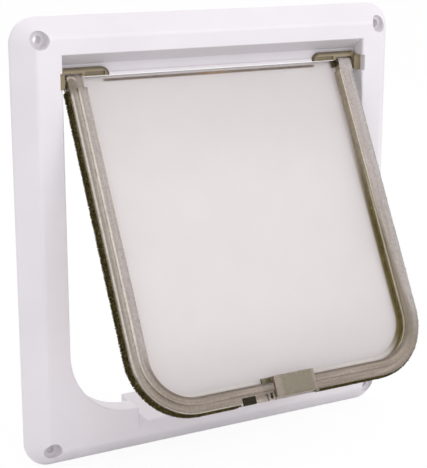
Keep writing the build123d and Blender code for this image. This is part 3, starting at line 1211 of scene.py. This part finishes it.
@dataclass
class Lamp:
    """One soft box: a square area light aimed at a point."""

    name: str
    place: Point
    size: float
    watts: float
    aim: Point = (0.0, 0.0, 0.0)
    colour: Colour = (1.0, 1.0, 1.0)

    def build(self) -> None:
        """Hang the lamp."""
        light = bpy.data.lights.new(self.name, "AREA")
        light.shape = "SQUARE"
        light.size = self.size
        light.energy = self.watts
        light.color = self.colour
        lamp = bpy.data.objects.new(self.name, light)
        lamp.location = self.place
        beam = Vector(self.aim) - Vector(self.place)
        lamp.rotation_euler = beam.to_track_quat("-Z", "Y").to_euler()
        bpy.context.scene.collection.objects.link(lamp)
        LOG.info("hung %s", self.name)


@dataclass
class Studio:
    """Pale floor, soft light and the camera at the photograph's angle."""

    floor_z: float
    floor_size: float = 14.0
    floor_grey: Colour = (0.86, 0.86, 0.86)
    floor_glow: float = 1.02
    floor_share: float = 0.9
    sky: Colour = (1.0, 1.0, 1.0)
    sky_light: float = 0.86
    sky_seen: float = 1.0
    lens: float = 98.23
    sensor: float = 36.0
    clip_start: float = 0.01
    target: Point = (0.00159, 0.0, -0.00374)
    distance: float = 0.5955
    azimuth: float = math.radians(-29.12)
    elevation: float = math.radians(14.13)
    lamps: List[Lamp] = field(
        default_factory=lambda: [
            Lamp("key_box", place=(0.55, -0.75, 0.60), size=0.55, watts=1.6),
            Lamp("top_box", place=(0.0, -0.45, 0.95), size=0.7, watts=1.0),
            Lamp("front_box", place=(-0.15, -1.1, 0.26), size=0.7, watts=1.2),
            Lamp("back_box", place=(0.2, 0.9, 0.4), size=0.8, watts=1.5),
        ]
    )

    @staticmethod
    def seen(tree: bpy.types.NodeTree) -> Socket:
        """Value that is 1 for rays that show the background: camera, glossy and transmission rays.

        Args:
            tree: Node tree of the world or the floor.

        Returns:
            The value's socket.
        """
        path = tree.nodes.new("ShaderNodeLightPath")
        joined = path.outputs["Is Camera Ray"]
        for name in ("Is Glossy Ray", "Is Transmission Ray"):
            either = tree.nodes.new("ShaderNodeMath")
            either.operation = "MAXIMUM"
            tree.links.new(joined, either.inputs[0])
            tree.links.new(path.outputs[name], either.inputs[1])
            joined = either.outputs[0]
        return joined

    def show_white(
        self, tree: bpy.types.NodeTree, lit: bpy.types.Node, white: bpy.types.Node, share: float
    ) -> bpy.types.Node:
        """Mix a lit shader with a white one where it is seen.

        Args:
            tree: Node tree of the world or the floor.
            lit: Shader for the rays that carry light.
            white: Shader for the rays that show the background.
            share: How much of the white one shows.

        Returns:
            The mixed shader.
        """
        part = tree.nodes.new("ShaderNodeMath")
        part.operation = "MULTIPLY"
        part.inputs[1].default_value = share
        mix = tree.nodes.new("ShaderNodeMixShader")
        tree.links.new(self.seen(tree), part.inputs[0])
        tree.links.new(part.outputs[0], mix.inputs["Fac"])
        tree.links.new(lit.outputs[0], mix.inputs[1])
        tree.links.new(white.outputs[0], mix.inputs[2])
        return mix

    def light_world(self) -> None:
        """Make the soft surrounding light, white where it is seen."""
        world = bpy.data.worlds.new("studio_world")
        bpy.context.scene.world = world
        world.use_nodes = True
        tree = world.node_tree
        tree.nodes.clear()
        output = tree.nodes.new("ShaderNodeOutputWorld")
        skies = []
        for strength in (self.sky_light, self.sky_seen):
            sky = tree.nodes.new("ShaderNodeBackground")
            sky.inputs["Color"].default_value = (*self.sky, 1.0)
            sky.inputs["Strength"].default_value = strength
            skies.append(sky)
        mix = self.show_white(tree, *skies, share=1.0)
        tree.links.new(mix.outputs[0], output.inputs["Surface"])

    def lay_floor(self) -> None:
        """Lay the pale floor that the object stands on."""
        bm = bmesh.new()
        bmesh.ops.create_grid(bm, x_segments=1, y_segments=1, size=self.floor_size / 2)
        bmesh.ops.translate(bm, verts=bm.verts, vec=(0.0, 0.0, self.floor_z))
        material = bpy.data.materials.new("pale_floor")
        material.use_nodes = True
        tree = material.node_tree
        tree.nodes.clear()
        output = tree.nodes.new("ShaderNodeOutputMaterial")
        matt = tree.nodes.new("ShaderNodeBsdfDiffuse")
        matt.inputs["Color"].default_value = (*self.floor_grey, 1.0)
        white = tree.nodes.new("ShaderNodeEmission")
        white.inputs["Strength"].default_value = self.floor_glow
        mix = self.show_white(tree, matt, white, self.floor_share)
        tree.links.new(mix.outputs[0], output.inputs["Surface"])
        make_piece("pale_floor", bm, material)

    def set_camera(self) -> None:
        """Place the camera at the photograph's angle."""
        away = Vector(
            (
                math.sin(self.azimuth) * math.cos(self.elevation),
                -math.cos(self.azimuth) * math.cos(self.elevation),
                math.sin(self.elevation),
            )
        )
        camera = bpy.data.cameras.new("photo_camera")
        camera.sensor_fit = "VERTICAL"
        camera.sensor_height = self.sensor
        camera.lens = self.lens
        camera.clip_start = self.clip_start
        holder = bpy.data.objects.new("photo_camera", camera)
        holder.location = Vector(self.target) + away * self.distance
        holder.rotation_euler = (-away).to_track_quat("-Z", "Y").to_euler()
        bpy.context.scene.collection.objects.link(holder)
        bpy.context.scene.camera = holder

    def build(self) -> None:
        """Set up the light, the floor and the camera."""
        self.light_world()
        self.lay_floor()
        for lamp in self.lamps:
            lamp.build()
        self.set_camera()
        bpy.context.scene.view_settings.view_transform = "Standard"


def main() -> None:
    """Build every sub-assembly in order and report each piece."""
    logging.basicConfig(level=logging.INFO, format="%(name)s: %(message)s")
    axes = FlapFrame.from_record()
    finishes = Finishes(axes)
    Surround(finishes).build()
    FlapDoor(finishes, axes).build()
    SlideLock(finishes).build()
    Studio(floor_z=CAD_BOX[0][2]).build()


if __name__ == "__main__":
    main()
